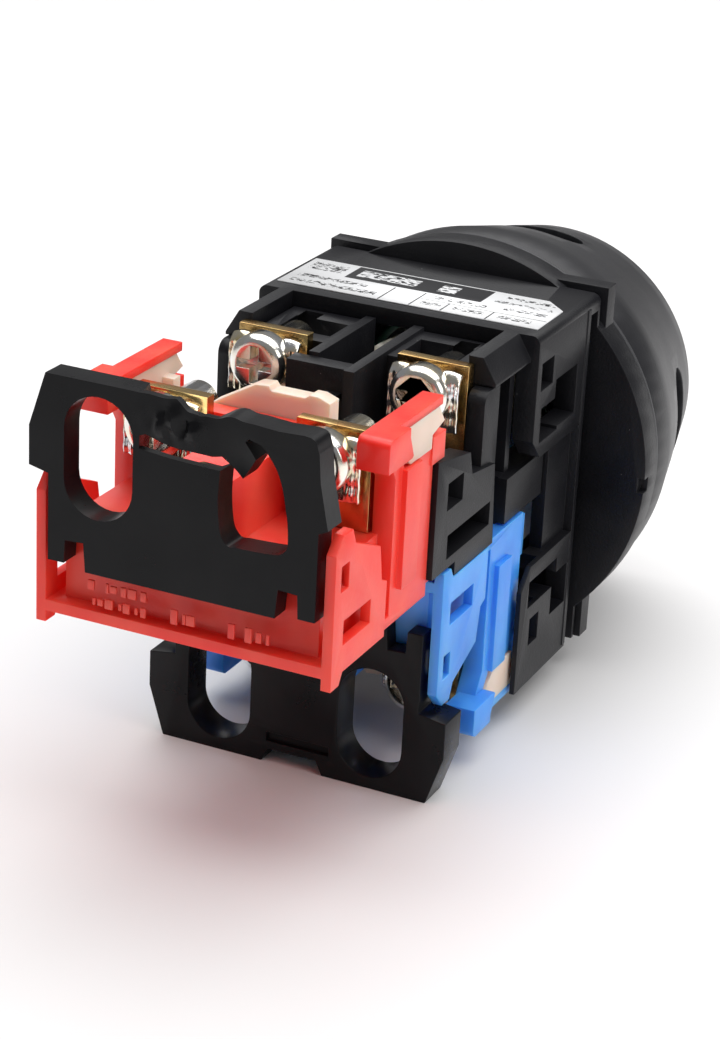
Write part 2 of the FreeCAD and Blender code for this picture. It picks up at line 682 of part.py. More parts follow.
def block_slider(nose_front):
    """Sliding bar; on a stacked block it has a leg and a nose that reaches the bar before it."""
    front = slider_front
    bar = centred(slider_half, front, front + slider_length, slider_low, slider_high)
    ears = centred(spring_u + spring_radius, ear_front, ear_front + ear_depth, slider_low, slider_high)
    bar = joined([bar, ears])
    if nose_front is None:
        return bar
    leg = centred(slider_half, front, front + 2.0, -slider_high, slider_high)
    nose = centred(slider_half, nose_front, front + 2.0, -slider_high, -slider_low)
    return joined([bar, leg, nose])


def moving_contact(bridge_v):
    """Bridge with a silver tip at each end."""
    low = slider_high + bridge_rise
    bar = centred(bridge_half, bridge_v, bridge_v + bridge_thickness, low, low + bridge_height)
    post = centred(1.0, bridge_v, bridge_v + bridge_thickness, slider_high, low + EPS)
    return joined([bar, post])


def contact_spring(bridge_v):
    """Spring that presses the bridge, as its envelope."""
    return tube(0.9, 0.45, bridge_v + bridge_thickness, bridge_v + bridge_thickness + 2.2,
                0.0, slider_high + 1.0)


def block_spring():
    """Two return springs of a slider, as their envelopes."""
    coil = tube(spring_radius, spring_radius / 2, ear_front + ear_depth, chamber_rear - chamber_wall,
                spring_u, (slider_low + slider_high) / 2)
    return Part.makeCompound([coil, mirrored(coil)])


def cover(cover_half):
    """Black terminal cover with a driver slot over each screw."""
    half = [(2.4, cover_top - 1.3), (3.0, cover_top), (cover_half - 1.5, cover_top),
            (cover_half, cover_top - 4.7), (cover_half, 12.8), (12.1, 12.4), (12.1, cover_low + 0.4),
            (10.6, cover_low + 0.4), (10.5, cover_low + 2.4), (8.8, cover_low + 2.5),
            (8.6, cover_low)]
    outline = half + [(-x, z) for x, z in reversed(half)]
    plate = end_prism(outline, cover_rear - cover_thickness, cover_rear)
    rim = end_prism(outline, cover_rim_front, cover_rear - cover_thickness + 0.1)
    rim = rim.cut(centred(20, cover_rim_front - EPS, cover_rear, 0, chamber_top + fit_clearance))
    rim = rim.cut(centred(barrier_half + slide_clearance, cover_rim_front - EPS,
                          barrier_rear + fit_clearance, 0, barrier_top + slide_clearance))
    shape = joined([plate, rim])
    cuts = [both(slot(cover_slot_width, cover_slot_height, screw_u, cover_slot_centre,
                      cover_rim_front - EPS, cover_rear + EPS)),
            box(-2.6, 3.6, cover_rear - 0.5, cover_rear + EPS, 17.9, 18.8),
            box(-10.2, -8.0, cover_rear - 0.8, cover_rear + EPS, 5.8, 8.6)]
    return shape.cut(Part.makeCompound(cuts)).removeSplitter()


# ------------------------------------------------------------------ assembly
def place_upper(shape, front):
    """Block frame to the object's frame, terminals up."""
    copy = shape.copy()
    copy.translate(Vector(0, front, 0))
    return copy


def place_lower(shape, front):
    """Block frame to the object's frame, terminals down."""
    return place_upper(flipped(shape), front)


def write_terminals(prefix, place, front, spread, strip):
    """Two strips, two clamps and two screws of one block."""
    for centre, word in ((spread, "left"), (-spread, "right")):
        save(prefix + "_terminal_" + word, place(terminal_strip(centre, *strip), front))
        save(prefix + "_saddle_" + word, place(terminal_saddle(centre), front))
        save(prefix + "_screw_" + word, place(terminal_screw(centre), front))


def write_block(prefix, place, front, cover_half, knock_out, nose_front, bridge_v, tab_front):
    """All pieces of one contact block."""
    save(prefix + "_housing", place(block_housing(knock_out), front))
    save(prefix + "_inner", place(block_inner(), front))
    save(prefix + "_slider", place(block_slider(nose_front), front))
    save(prefix + "_moving_contact", place(moving_contact(bridge_v), front))
    save(prefix + "_contact_spring", place(contact_spring(bridge_v), front))
    save(prefix + "_return_spring", place(block_spring(), front))
    save(prefix + "_terminal_cover", place(cover(cover_half), front))
    write_terminals(prefix, place, front, screw_u, (tab_front, chamber_top, slider_high + bridge_rise))


save("base_housing", base_housing())
save("rating_label", rating_label())
save("panel_gasket", panel_gasket())
save("thrust_washer", thrust_washer())
save("guard_ring", guard_ring())
save("button_seal", button_seal())
save("lens_cap", lens_cap())
save("diffuser", diffuser())
save("plunger", plunger())
save("button_spring", button_spring())
save("lamp_socket", lamp_socket())
save("lamp_cap", lamp_cap())
save("lamp_bulb", lamp_bulb())
save("lamp_contact_spring", lamp_contact_spring())
save("lamp_block", lamp_block())
write_terminals("lamp", place_upper, lamp_terminal_front, lamp_screw_u,
                (lamp_strip_front, lamp_deck, lamp_deck))
no_bridge = terminal_wall_rear - open_gap - button_travel - bridge_thickness
write_block("no", place_lower, first_block_front, lower_cover_half, True, None, no_bridge, terminal_wall_rear)
nose = slider_front + slider_length + running_gap - block_pitch
nc_bridge = nc_tab_front + strip_plate + closed_gap
write_block("nc", place_upper, second_block_front, upper_cover_half, False, nose, nc_bridge, nc_tab_front)
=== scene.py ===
# %% [markdown]
# # Industrial push button
# The real object is an illuminated push button for a control panel: a black moulded operator with
# a windowed guard ring in front, a square body behind, and two contact blocks stacked on its back.
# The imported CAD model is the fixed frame. Each CAD node keeps its shape and gets a finish, and the
# pieces that a solid model leaves out, such as coiled springs and print, are modelled here.

# %% Load the frame
import json
import math
import random

import bmesh
import bpy
from mathutils import Matrix, Vector


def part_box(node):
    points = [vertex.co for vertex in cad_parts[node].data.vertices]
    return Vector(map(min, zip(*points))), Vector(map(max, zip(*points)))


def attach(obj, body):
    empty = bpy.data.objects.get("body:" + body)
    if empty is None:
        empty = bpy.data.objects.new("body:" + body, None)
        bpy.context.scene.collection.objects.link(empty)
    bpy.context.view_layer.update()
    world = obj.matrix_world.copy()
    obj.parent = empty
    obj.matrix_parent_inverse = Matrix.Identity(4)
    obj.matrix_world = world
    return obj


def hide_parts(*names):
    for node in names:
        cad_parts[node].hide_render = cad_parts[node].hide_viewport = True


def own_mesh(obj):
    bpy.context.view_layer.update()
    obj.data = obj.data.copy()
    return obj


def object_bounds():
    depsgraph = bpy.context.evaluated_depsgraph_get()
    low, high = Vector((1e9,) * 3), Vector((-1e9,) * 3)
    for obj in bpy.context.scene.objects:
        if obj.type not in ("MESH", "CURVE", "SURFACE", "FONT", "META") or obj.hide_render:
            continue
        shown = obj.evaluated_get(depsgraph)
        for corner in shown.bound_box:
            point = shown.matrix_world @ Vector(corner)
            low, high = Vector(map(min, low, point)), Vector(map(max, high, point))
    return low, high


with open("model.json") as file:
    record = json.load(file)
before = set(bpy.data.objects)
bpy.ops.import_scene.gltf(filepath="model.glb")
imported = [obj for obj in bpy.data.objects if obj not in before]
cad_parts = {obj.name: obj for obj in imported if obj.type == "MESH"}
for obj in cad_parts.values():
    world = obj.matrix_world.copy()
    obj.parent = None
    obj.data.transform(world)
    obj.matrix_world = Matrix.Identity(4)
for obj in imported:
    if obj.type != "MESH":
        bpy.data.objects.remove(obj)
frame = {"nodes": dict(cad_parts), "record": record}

MM = 0.001
nodes = frame["nodes"]
cad_box = [list(corner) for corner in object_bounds()]
print("nodes", len(nodes), "CAD box in mm", [[round(c / MM, 1) for c in corner] for corner in cad_box])

# %% [markdown]
# ## Shader sums
# A finish is easier to read as a sum than as a chain of nodes. `Value` wraps an output socket and
# turns + - * > < | and & into Math nodes. `Finish` owns one material, and its `node` method adds any
# other node: the settings come first, because they decide which sockets the node shows.

# %% Value and Finish
class Value:
    """An output socket that can be used in a sum."""

    def __init__(self, finish, socket):
        self.finish = finish
        self.socket = socket

    def sum(self, operation, first, second):
        return self.finish.node("ShaderNodeMath", {"operation": operation}, {0: first, 1: second})

    def __add__(self, other):
        return self.sum("ADD", self, other)

    def __sub__(self, other):
        return self.sum("SUBTRACT", self, other)

    def __rsub__(self, other):
        return self.sum("SUBTRACT", other, self)

    def __mul__(self, other):
        return self.sum("MULTIPLY", self, other)

    def __gt__(self, other):
        return self.sum("GREATER_THAN", self, other)

    def __lt__(self, other):
        return self.sum("LESS_THAN", self, other)

    def __or__(self, other):
        return self.sum("MAXIMUM", self, other)

    __radd__ = __add__
    __rmul__ = __mul__
    __and__ = __mul__


class Finish:
    """One material: a Principled shader and the nodes that feed it."""

    def __init__(self, name, roughness, **constants):
        self.material = bpy.data.materials.new(name)
        self.material.use_nodes = True
        self.tree = self.material.node_tree
        self.shader = self.tree.nodes["Principled BSDF"]
        self.shader.inputs["Roughness"].default_value = roughness
        for socket, value in constants.items():
            self.shader.inputs[socket.replace("_", " ")].default_value = value
        self.place = self.node("ShaderNodeTexCoord", output="Object")

    def node(self, kind, settings=None, inputs=None, output=0):
        made = self.tree.nodes.new(kind)
        for name, value in (settings or {}).items():
            setattr(made, name, value)
        for socket, value in (inputs or {}).items():
            if isinstance(value, Value):
                self.tree.links.new(value.socket, made.inputs[socket])
            else:
                made.inputs[socket].default_value = value
        return Value(self, made.outputs[output])

    def noise(self, size, detail=3.0, stretch=(1, 1, 1)):
        """Soft noise from 0 to 1, with features of about the given size in metres."""
        place = self.node("ShaderNodeMapping", None, {"Vector": self.place, "Scale": stretch})
        return self.node("ShaderNodeTexNoise", None,
                         {"Vector": place, "Scale": 1 / size, "Detail": detail})

    def ramp(self, value, low, high):
        """The value stretched so that low becomes 0 and high becomes 1."""
        return self.node("ShaderNodeMapRange", None,
                         {"Value": value, "From Min": low, "From Max": high})

    def blend(self, share, first, second):
        """Colour that goes from the first to the second as the share rises."""
        return self.node("ShaderNodeMix", {"data_type": "RGBA"}, {0: share, 6: first, 7: second},
                         output=2)

    def feed(self, socket, value):
        self.tree.links.new(value.socket, self.shader.inputs[socket])

    def bump(self, height, distance, strength=1.0):
        """Relief whose full height is the distance in metres."""
        self.feed("Normal", self.node("ShaderNodeBump", None,
                                      {"Height": height, "Distance": distance, "Strength": strength}))


print("Value and Finish are ready")

# %% [markdown]
# ## Moulded plastics
# The black parts are glass-filled nylon with a fine spark-eroded grain, so they look charcoal where
# a wide light grazes them and nearly black elsewhere. The grain is bump at about a quarter of a
# millimetre. A slower noise moves the roughness, as handling does, and a few pale specks are dust.

# %% Black and grey plastics
def moulded(name, dark, light, roughness, grain, relief, specks=0.0, **constants):
    """Opaque moulding with a fine grain, uneven gloss and a little dust."""
    finish = Finish(name, roughness, **constants)
    cloud = finish.noise(6 * MM)
    fine = finish.noise(grain)
    colour = finish.blend(finish.ramp(cloud, 0.35, 0.7), dark, light)
    if specks:
        dust = finish.noise(0.35 * MM, 1.0) > specks
        colour = finish.blend(dust * 0.35, colour, (0.5, 0.5, 0.5, 1))
    finish.feed("Base Color", colour)
    finish.feed("Roughness", cloud * 0.16 + fine * 0.06 + (roughness - 0.11))
    finish.bump(fine, relief)
    return finish.material


finishes = {
    "body_black": moulded("black nylon", (0.007, 0.007, 0.009, 1), (0.012, 0.012, 0.014, 1), 0.42,
                          0.22 * MM, 0.03 * MM, specks=0.83, Specular_IOR_Level=0.22),
    "guard_black": moulded("guard black", (0.01, 0.01, 0.012, 1), (0.015, 0.015, 0.018, 1), 0.4,
                           0.3 * MM, 0.012 * MM, specks=0.84, Specular_IOR_Level=0.36),
    "cover_black": moulded("cover black", (0.004, 0.004, 0.005, 1), (0.008, 0.008, 0.009, 1), 0.3,
                           0.5 * MM, 0.008 * MM, Specular_IOR_Level=0.16),
    "rubber_black": moulded("seal rubber", (0.012, 0.012, 0.012, 1), (0.02, 0.02, 0.02, 1), 0.7,
                            0.15 * MM, 0.02 * MM),
    "washer_grey": moulded("washer grey", (0.03, 0.03, 0.033, 1), (0.045, 0.045, 0.05, 1), 0.5,
                           0.2 * MM, 0.01 * MM),
    "diffuser_white": moulded("milk white", (0.8, 0.8, 0.77, 1), (0.86, 0.86, 0.84, 1), 0.35,
                              0.4 * MM, 0.01 * MM),
    "plunger_white": moulded("natural white", (0.74, 0.72, 0.66, 1), (0.82, 0.8, 0.75, 1), 0.45,
                             0.3 * MM, 0.01 * MM),
}
print("plastics", sorted(finishes))

# %% [markdown]
# ## Tinted plastics
# The contact blocks are red and blue nylon, and their inner mouldings are cream. These are slightly
# translucent: light enters, spreads a millimetre or so and comes out more saturated in the corners
# and paler on thin ribs. Subsurface scattering does this directly, so the base colour stays simple.

# %% Red, blue and cream
def tinted(name, deep, pale, spread, roughness=0.38):
    """Translucent moulding: scattering under a faintly wavy satin skin."""
    finish = Finish(name, roughness, Subsurface_Weight=0.55, Subsurface_Radius=spread,
                    Subsurface_Scale=1.6 * MM)
    flow = finish.noise(5 * MM, 2.0, (1, 1, 0.4))
    fine = finish.noise(0.4 * MM)
    finish.feed("Base Color", finish.blend(finish.ramp(flow, 0.35, 0.7), deep, pale))
    finish.feed("Roughness", flow * 0.15 + fine * 0.08 + (roughness - 0.12))
    finish.bump(fine, 0.012 * MM)
    return finish.material


finishes["block_red"] = tinted("red nylon", (0.88, 0.03, 0.02, 1), (0.95, 0.09, 0.055, 1), (1, 0.12, 0.06))
finishes["block_blue"] = tinted("blue nylon", (0.04, 0.26, 0.82, 1), (0.1, 0.4, 0.95, 1), (0.12, 0.4, 1))
finishes["inner_cream"] = tinted("cream nylon", (0.74, 0.56, 0.45, 1), (0.82, 0.66, 0.55, 1), (1, 0.6, 0.4))
print("tinted plastics", finishes["block_red"].name, finishes["block_blue"].name)

# %% [markdown]
# ## Plated metals
# Screws and clamps are steel with a bright plating that picks up straw and blue tints. A metal's
# colour sits in its reflection, so it is Metallic 1 with a low roughness, and the tints are a slow
# noise between two base colours. Fine tool marks are a stretched noise used as bump.

# %% Metals
def plated(name, plain, tint, roughness, marks=(1, 1, 6)):
    """Bright metal with patches of tint and faint tool marks."""
    finish = Finish(name, roughness, Metallic=1.0)
    patch = finish.noise(2.2 * MM, 2.0)
    tool = finish.noise(0.3 * MM, 2.0, marks)
    finish.feed("Base Color", finish.blend(finish.ramp(patch, 0.4, 0.68), plain, tint))
    finish.feed("Roughness", patch * 0.12 + (roughness - 0.05))
    finish.bump(tool, 0.006 * MM)
    return finish.material


finishes["terminal_brass"] = plated("terminal brass", (0.62, 0.44, 0.18, 1), (0.5, 0.28, 0.1, 1), 0.24)
finishes["saddle_nickel"] = plated("clamp nickel", (0.86, 0.86, 0.88, 1), (0.9, 0.76, 0.45, 1), 0.14)
finishes["screw_nickel"] = plated("screw nickel", (0.9, 0.9, 0.9, 1), (0.88, 0.8, 0.62, 1), 0.16)
finishes["contact_copper"] = plated("contact copper", (0.8, 0.45, 0.28, 1), (0.7, 0.36, 0.2, 1), 0.25)
finishes["spring_steel"] = plated("spring steel", (0.62, 0.62, 0.62, 1), (0.5, 0.5, 0.52, 1), 0.25)
finishes["socket_metal"] = plated("socket nickel", (0.74, 0.72, 0.64, 1), (0.66, 0.6, 0.46, 1), 0.28)
print("metals", 6)

# %% [markdown]
# ## Lens and lamp
# The lens is clear green plastic over a white diffuser, and the lamp inside is frosted glass. Both
# let light through, so they use Transmission, with a little roughness for the frosting.

# %% Lens and glass
def clear(name, colour, roughness, transmission, index):
    """Clear or frosted material that light passes through."""
    finish = Finish(name, roughness, Transmission_Weight=transmission, IOR=index)
    haze = finish.noise(1.5 * MM)
    deeper = tuple(0.85 * channel for channel in colour[:3]) + (1,)
    finish.feed("Base Color", finish.blend(haze, colour, deeper))
    finish.bump(finish.noise(0.8 * MM), 0.01 * MM)
    return finish.material


finishes["lens_green"] = clear("lens green", (0.03, 0.62, 0.3, 1), 0.12, 0.65, 1.49)
finishes["bulb_glass"] = clear("frosted glass", (0.92, 0.94, 0.92, 1), 0.3, 0.8, 1.5)
print("clear materials", 2)

# %% [markdown]
# ## Printed label
# The rating label is white film with a black title band, thin box lines and rows of small print.
# The layout is drawn in the shader from the label's own X and Y, so it needs no texture. The rows
# are made of noise cut at a level, which gives marks that look like print and say nothing.

# %% Label print
def label_print():
    """White film with a band, rules and rows of meaningless marks."""
    finish = Finish("printed film", 0.32)
    across = finish.node("ShaderNodeSeparateXYZ", None, {0: finish.place}, output="X")
    along = finish.node("ShaderNodeSeparateXYZ", None, {0: finish.place}, output="Y")

    def patch(x0, x1, y0, y1):
        inside_x = (across > x0 * MM) & (across < x1 * MM)
        return inside_x & (along > y0 * MM) & (along < y1 * MM)

    small = finish.noise(0.28 * MM, 1.0, (0.7, 1.6, 1)) > 0.53
    bold = finish.noise(0.5 * MM, 1.0, (0.6, 1.6, 1)) > 0.47
    band = patch(-5.6, 8.2, 8.2, 11.9)
    title = (patch(1.4, 7.4, 9.0, 11.0) | patch(-2.6, -0.8, 9.0, 11.0)) & bold
    rows = [(8.9, 12.4, 9.0, 11.2), (5.2, 12.2, 12.9, 13.7), (3.6, 12.2, 14.5, 15.4),
            (-6.6, -1.4, 12.5, 13.3), (-12.3, -7.2, 8.9, 9.6), (-12.3, -6.6, 10.4, 11.1),
            (-12.3, -8.2, 12.0, 12.8), (-3.0, -1.0, 14.4, 15.3), (-7.2, -4.2, 14.4, 15.3),
            (-11.8, -8.6, 14.4, 15.3)]
    rules = [(2.7, 2.85, 12.2, 16.2), (-0.4, -0.25, 12.2, 16.2), (-3.5, -3.35, 13.9, 16.2),
             (-7.9, -7.75, 13.9, 16.2), (-12.9, -0.3, 13.8, 13.9)]
    marks = patch(*rows[0])
    for row in rows[1:]:
        marks = marks | patch(*row)
    lines = patch(*rules[0])
    for rule in rules[1:]:
        lines = lines | patch(*rule)
    ink = (marks & small) | lines | (band & (1 - title))
    paper = finish.blend(finish.noise(3 * MM), (0.86, 0.87, 0.88, 1), (0.92, 0.92, 0.93, 1))
    finish.feed("Base Color", finish.blend(ink, paper, (0.02, 0.02, 0.022, 1)))
    finish.feed("Roughness", 0.3 + ink * 0.15)
    return finish.material


finishes["label_white"] = label_print()
print("finishes", len(finishes))

# %% [markdown]
# ## Dress the CAD nodes
# A CAD node keeps its mesh. Its finish goes into its material slots by the name in the record, and
# a Bevel modifier rounds its corners by a tenth to a third of a millimetre, as every moulded or
# pressed edge is. The mesh is loose triangles, so a Weld modifier joins them first. Flat faces are
# then joined, except on turned shapes, where that leaves streaks in the shading.

# %% Finish and soften the nodes
slot_of = {part["node"]: part["material_slot"] for part in frame["record"]["subparts"]}
DEFAULT_EDGE = 0.1
EDGE = {"saddle_nickel": 0.12, "screw_nickel": 0.12, "terminal_brass": 0.08, "block_red": 0.14,
        "block_blue": 0.14, "inner_cream": 0.14, "cover_black": 0.22, "body_black": 0.14,
        "guard_black": 0.3, "label_white": 0.0}
ROUND_NODES = ("guard_ring", "lens_cap", "diffuser", "lamp_bulb", "lamp_cap", "lamp_socket")


def soften(piece, width, flat=True):
    """Weld, join the flat faces, then round the sharp corners of a piece."""
    weld = piece.modifiers.new("weld", "WELD")
    weld.merge_threshold = 0.001 * MM
    if flat:
        facets = piece.modifiers.new("join flat faces", "DECIMATE")
        facets.decimate_type = "DISSOLVE"
        facets.angle_limit = math.radians(0.4)
    piece.data.shade_smooth()
    if width:
        bevel = piece.modifiers.new("round", "BEVEL")
        bevel.width = width * MM
        bevel.segments = 2
        bevel.limit_method = "ANGLE"
        bevel.angle_limit = math.radians(35)
        bevel.harden_normals = True


for name, node in nodes.items():
    slot = slot_of[name]
    node.data.materials.clear()
    node.data.materials.append(finishes[slot])
    soften(node, EDGE.get(slot, DEFAULT_EDGE), name not in ROUND_NODES)
print("dressed", len(nodes))

# %% [markdown]
# ## Pieces modelled here
# A solid model shows a spring as a plain sleeve and a pressed clamp as a flat plate. Those pieces
# are made again with bmesh operators, stand for their CAD nodes and ride on the same bodies. The
# helper below closes a bmesh into a piece, so every maker can stay about its shape alone.

# %% Make a piece
def piece_from(made, name, slot, body, *stands_for):
    """Turn a bmesh into a smooth piece that rides on a body and stands for CAD nodes."""
    data = bpy.data.meshes.new(name)
    made.to_mesh(data)
    made.free()
    data.materials.append(finishes[slot])
    data.shade_smooth()
    piece = bpy.data.objects.new(name, data)
    bpy.context.scene.collection.objects.link(piece)
    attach(piece, body)
    if stands_for:
        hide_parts(*stands_for)
    return piece


print("piece_from is ready")

# %% [markdown]
# ## Springs
# The button and both sliders are pushed back by coil springs. A coil is a small circle spun round
# an axis while it moves along it, which is the spin operator with a step vector. The ends are
# plain, with no ground last turn.

# %% Coil springs
STEPS_PER_TURN = 24
WIRE_SIDES = 8
SLIDER_COIL_X = 3.6 * MM


def wind(made, centre, start, end, radius, wire, turns):
    """Add one helical wire along Y between two seats."""
    steps = round(STEPS_PER_TURN * turns)
    ring = bmesh.ops.create_circle(made, cap_ends=False, segments=WIRE_SIDES, radius=wire)["verts"]
    bmesh.ops.translate(made, verts=ring, vec=(centre[0] + radius, start + wire, centre[1]))
    edges = list({edge for vert in ring for edge in vert.link_edges})
    bmesh.ops.spin(made, geom=ring + edges, cent=(centre[0], 0, centre[1]), axis=(0, 1, 0),
                   dvec=(0, (end - start - 2 * wire) / steps, 0), angle=2 * math.pi * turns,
                   steps=steps, use_merge=False, use_duplicate=False)


def spring(node, body, centres, wire, turns):
    """Coils that fill the sleeve of a CAD spring node."""
    low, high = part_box(node)
    radius = (high[2] - low[2]) / 2 - wire
    made = bmesh.new()
    for centre in centres:
        wind(made, (centre, (low[2] + high[2]) / 2), low[1], high[1], radius, wire, turns)
    ends = [edge for edge in made.edges if edge.is_boundary]
    bmesh.ops.holes_fill(made, edges=ends, sides=WIRE_SIDES)
    bmesh.ops.recalc_face_normals(made, faces=made.faces)
    return piece_from(made, node + "_coil", "spring_steel", body, node)


button_coil = spring("button_spring", "base", [0], 0.55 * MM, 3.5)
for block in ("no", "nc"):
    coil = spring(block + "_return_spring", "base", [-SLIDER_COIL_X, SLIDER_COIL_X], 0.17 * MM, 13)
    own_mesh(coil)
    spring(block + "_contact_spring", block + "_slide", [0], 0.16 * MM, 4)
spring("lamp_contact_spring", "base", [0], 0.25 * MM, 2.5)
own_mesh(button_coil)
print("button coil faces", len(button_coil.data.polygons))

# %% [markdown]
# ## Pressed clamps
# Each terminal screw carries a clamp pressed from thin plated sheet. Its top edge is rolled over
# in three scallops, its flanks are ribbed to bite the wire, and the screw passes through a hole. A
# grid is the right start: the hole is opened by removing faces and rounding their edge, the relief
# is made by moving the grid's vertices, and an extrusion gives the sheet its thickness.

# %% Clamps under the screw heads
SHEET = 0.5 * MM
BORE = 1.85 * MM
ROLL_START = 0.45             # share of the half height where the top begins to roll over
ROLL_DEPTH = 0.9
SCALLOP_DEPTH = 0.28
SCALLOP_DROP = 0.3
FLANK_START = 0.6             # share of the half width where the ribs begin
RIB_DEPTH = 0.22
STEP_DEPTH = 0.1


def clamp(name):
    """Ribbed and scalloped clamp in the place of a CAD clamp plate."""
    low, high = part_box(name)
    screw_low, screw_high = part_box(name.replace("saddle", "screw"))
    up = 1 if low[2] > 0 else -1
    middle = Vector(((low[0] + high[0]) / 2, high[1] - SHEET, (low[2] + high[2]) / 2))
    half_width = (high[0] - low[0]) / 2
    half_height = (high[2] - low[2]) / 2
    hole = Vector(((screw_low[0] + screw_high[0]) / 2, (screw_low[2] + screw_high[2]) / 2))
    made = bmesh.new()
    bmesh.ops.create_grid(made, x_segments=44, y_segments=34, size=1)
    bmesh.ops.scale(made, verts=made.verts, vec=(half_width, half_height * up, 1))
    bmesh.ops.rotate(made, verts=made.verts, cent=(0, 0, 0),
                     matrix=Matrix.Rotation(math.radians(90), 3, "X"))
    bmesh.ops.translate(made, verts=made.verts, vec=middle)

    def from_hole(point):
        return Vector((point.x, point.z)) - hole

    inside = [face for face in made.faces if from_hole(face.calc_center_median()).length < BORE]
    bmesh.ops.delete(made, geom=inside, context="FACES")
    for vert in made.verts:
        away = from_hole(vert.co)
        if vert.is_boundary and away.length < 1.4 * BORE:
            away = away.normalized() * BORE
            vert.co.x, vert.co.z = hole.x + away.x, hole.y + away.y
    for vert in made.verts:
        across = (vert.co.x - middle.x) / half_width
        height = (vert.co.z - middle.z) * up / half_height
        roll = max(0.0, (height - ROLL_START) / (1 - ROLL_START))
        scallop = abs(math.sin(1.5 * math.pi * (across + 1)))
        flank = max(0.0, min(1.0, (abs(across) - FLANK_START) / 0.15)) * (1 - roll)
        rib = 0.5 + 0.5 * math.cos(9 * math.pi * across)
        step = 0.5 + 0.5 * math.cos(4 * math.pi * height)
        ribbing = flank * (RIB_DEPTH * rib + STEP_DEPTH * step)
        vert.co.y -= MM * (ROLL_DEPTH * roll ** 2 - SCALLOP_DEPTH * roll * scallop + ribbing)
        vert.co.z -= up * MM * SCALLOP_DROP * roll * (1 - scallop)
    grown = bmesh.ops.extrude_face_region(made, geom=made.faces, use_keep_orig=True)["geom"]
    front = [item for item in grown if isinstance(item, bmesh.types.BMVert)]
    bmesh.ops.translate(made, verts=front, vec=(0, SHEET, 0))
    bmesh.ops.recalc_face_normals(made, faces=made.faces)
    body = name.replace("saddle", "screw") + "_body"
    return piece_from(made, name + "_pressed", "saddle_nickel", body, name)


for block in ("lamp", "no", "nc"):
    for side in ("left", "right"):
        pressed = clamp(block + "_saddle_" + side)
        print(pressed.name, "faces", len(pressed.data.polygons))

# %% [markdown]
# ## Damaged upper cover
# The upper terminal cover has been cut and bent: the bar over the right screw has sagged, the web
# in the middle is crumpled, and the right driver hole has run into a slit. A filled 2D curve holds
# such an irregular outline with its holes, and makes a clean plate when it is extruded. The mesh is
# then sliced so that the torn area has vertices to move, and the web is pushed out in folds.

# %% Bent cover
def closed_line(curve, points):
    """Add a closed spline; a point with a handle is smooth, and one without is a corner."""
    line = curve.splines.new("BEZIER")
    line.bezier_points.add(len(points) - 1)
    line.use_cyclic_u = True
    for knot, (x, z, *handle) in zip(line.bezier_points, points):
        knot.co = (x, z, 0)
        if handle:
            knot.handle_left_type = knot.handle_right_type = "FREE"
            knot.handle_left = (x - handle[0], z - handle[1], 0)
            knot.handle_right = (x + handle[0], z + handle[1], 0)
        else:
            knot.handle_left_type = knot.handle_right_type = "VECTOR"


cover_outline = [(5.6, 20.9), (1.8, 20.9), (0.5, 20.85), (-0.4, 20.35), (-1.6, 19.9), (-3.0, 20.2),
                 (-4.6, 20.4), (-6.6, 20.2), (-8.4, 20.1), (-10.6, 20.2), (-11.4, 20.0, -0.3, -0.2),
                 (-11.9, 18.9), (-12.1, 16.6), (-12.7, 13.7), (-12.9, 12.8), (-12.1, 12.4),
                 (-12.1, 4.9), (-10.6, 4.9), (-10.5, 6.9), (-8.8, 7.0), (-8.6, 4.5), (8.6, 4.5),
                 (8.8, 7.0), (10.5, 6.9), (10.6, 4.9), (12.1, 4.9), (12.1, 12.4), (13.9, 12.8),
                 (13.9, 16.2), (12.4, 20.9)]
torn_hole = [(3.8, 16.2), (3.8, 17.3), (3.2, 17.55), (1.0, 16.95), (-2.7, 16.85), (-3.5, 17.0),
             (-5.3, 15.5), (-6.4, 17.3), (-5.5, 18.6), (-5.8, 18.95), (-7.4, 18.2, -0.5, -0.7),
             (-8.6, 16.3, -0.4, -1.0), (-9.3, 13.4, -0.2, -1.0), (-9.5, 11.0, 0.0, -0.5),
             (-8.6, 9.9, 0.5, -0.1), (-5.1, 9.7, 0.4, 0.0), (-4.1, 9.8, 0.3, 0.3),
             (-3.5, 11.0, 0.1, 0.6), (-3.3, 13.4, 0.0, 0.8), (-3.4, 15.8), (1.0, 15.95)]
whole_hole = [(7.5, 19.75, 1.74, 0.0), (10.65, 16.6, 0.0, -1.74), (10.65, 12.4, 0.0, -1.74),
              (7.5, 9.25, -1.74, 0.0), (4.35, 12.4, 0.0, 1.74), (4.35, 16.6, 0.0, 1.74)]
COVER_REAR = round(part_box("nc_terminal_cover")[1][1] / MM, 3)
COVER_RIM = COVER_REAR - 2.4
PLATE_FRONT = COVER_REAR - 1.9
WEB_FRONT = COVER_REAR - 0.7
CHAMBER_TOP = 8.2
WEB_LEFT, WEB_RIGHT, WEB_LOW = 4.1, -3.2, 15.3
middle = (COVER_REAR + COVER_RIM) / 2
flat = bpy.data.curves.new("cover outline", "CURVE")
flat.dimensions = "2D"
flat.fill_mode = "BOTH"
flat.resolution_u = 8
flat.extrude = (COVER_REAR - COVER_RIM) / 2
for points in (cover_outline, torn_hole, whole_hole):
    closed_line(flat, points)
drawn = bpy.data.objects.new("cover outline", flat)
bpy.context.scene.collection.objects.link(drawn)
bpy.context.view_layer.update()
plate = bmesh.new()
plate.from_mesh(bpy.data.meshes.new_from_object(drawn))
bpy.data.objects.remove(drawn)
bmesh.ops.remove_doubles(plate, verts=plate.verts, dist=0.001)
bmesh.ops.rotate(plate, verts=plate.verts, cent=(0, 0, 0),
                 matrix=Matrix.Rotation(math.radians(90), 3, "X"))
bmesh.ops.translate(plate, verts=plate.verts, vec=(0, middle, 0))
